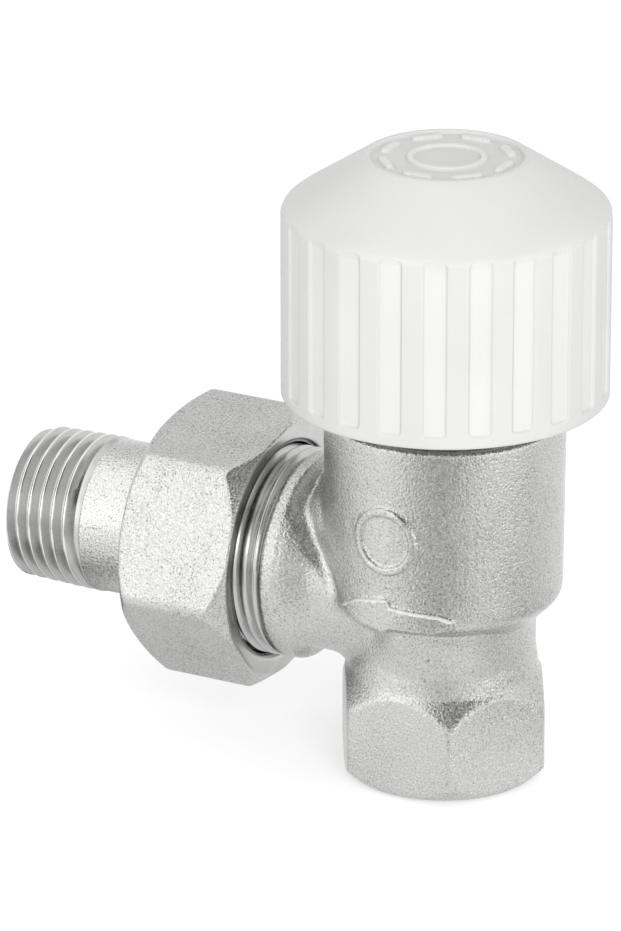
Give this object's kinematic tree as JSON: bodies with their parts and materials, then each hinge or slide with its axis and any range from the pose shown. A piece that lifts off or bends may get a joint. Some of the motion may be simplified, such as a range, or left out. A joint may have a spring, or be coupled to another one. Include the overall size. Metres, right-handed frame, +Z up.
{
  "type": "angled radiator valve",
  "caption": "Angle radiator valve with a hexagon inlet socket, a union nut with a threaded tailpiece on its side arm, and a fluted manual cap over a sprung valve insert.",
  "frame": {"origin": "centre of the inlet socket's mouth, on the valve's upright axis", "axes": "+Z up along the stem and cap axis, -X along the outlet arm, +Y completing the right-handed frame"},
  "size_m": [0.0822, 0.0426, 0.0847],
  "materials": {
    "plated_brass": "nickel plated, shot blasted",
    "bare_brass": "machined",
    "stainless": "drawn",
    "seal": "matt",
    "cap_plastic": "smooth moulded"
  },
  "bodies": {
    "valve": {"valve_body": "plated_brass", "insert_housing": "bare_brass", "housing_seal": "seal", "gland_nut": "bare_brass", "gland_seal": "seal", "gland_washer": "bare_brass", "pin_seal": "seal", "return_spring": "stainless"},
    "stem_group": {"stem": "stainless", "gland_pin": "stainless", "stem_clip": "stainless", "spring_plate": "stainless", "valve_plug": "bare_brass", "disc_seal": "seal", "plug_washer": "bare_brass", "plug_nut": "bare_brass"},
    "cap": {"handwheel": "cap_plastic"},
    "tail": {"tailpiece": "plated_brass", "tail_seal": "seal"},
    "nut": {"union_nut": "plated_brass"}
  },
  "joints": [
    {"name": "stem_lift", "type": "slide", "parent": "valve", "child": "stem_group", "axis": [0, 0, 1], "range_m": [-0.003, 0], "deforming": ["return_spring"]},
    {"name": "cap_turn", "type": "hinge", "parent": "stem_group", "child": "cap", "pos_m": [0, 0, 0.0644], "axis": [0, 0, 1], "range_deg": [-720, 0]},
    {"name": "tail_slide", "type": "slide", "parent": "valve", "child": "tail", "axis": [-1, 0, 0], "range_m": [0, 0.00675]},
    {"name": "nut_turn", "type": "hinge", "parent": "tail", "child": "nut", "pos_m": [-0.031, 0, 0.026], "axis": [-1, 0, 0], "range_deg": [0, 1620]}
  ],
  "couplings": [
    {"joint": "cap_turn", "follows": "stem_lift", "rad_per_m": 4188.8},
    {"joint": "nut_turn", "follows": "tail_slide", "rad_per_m": 4188.8}
  ]
}
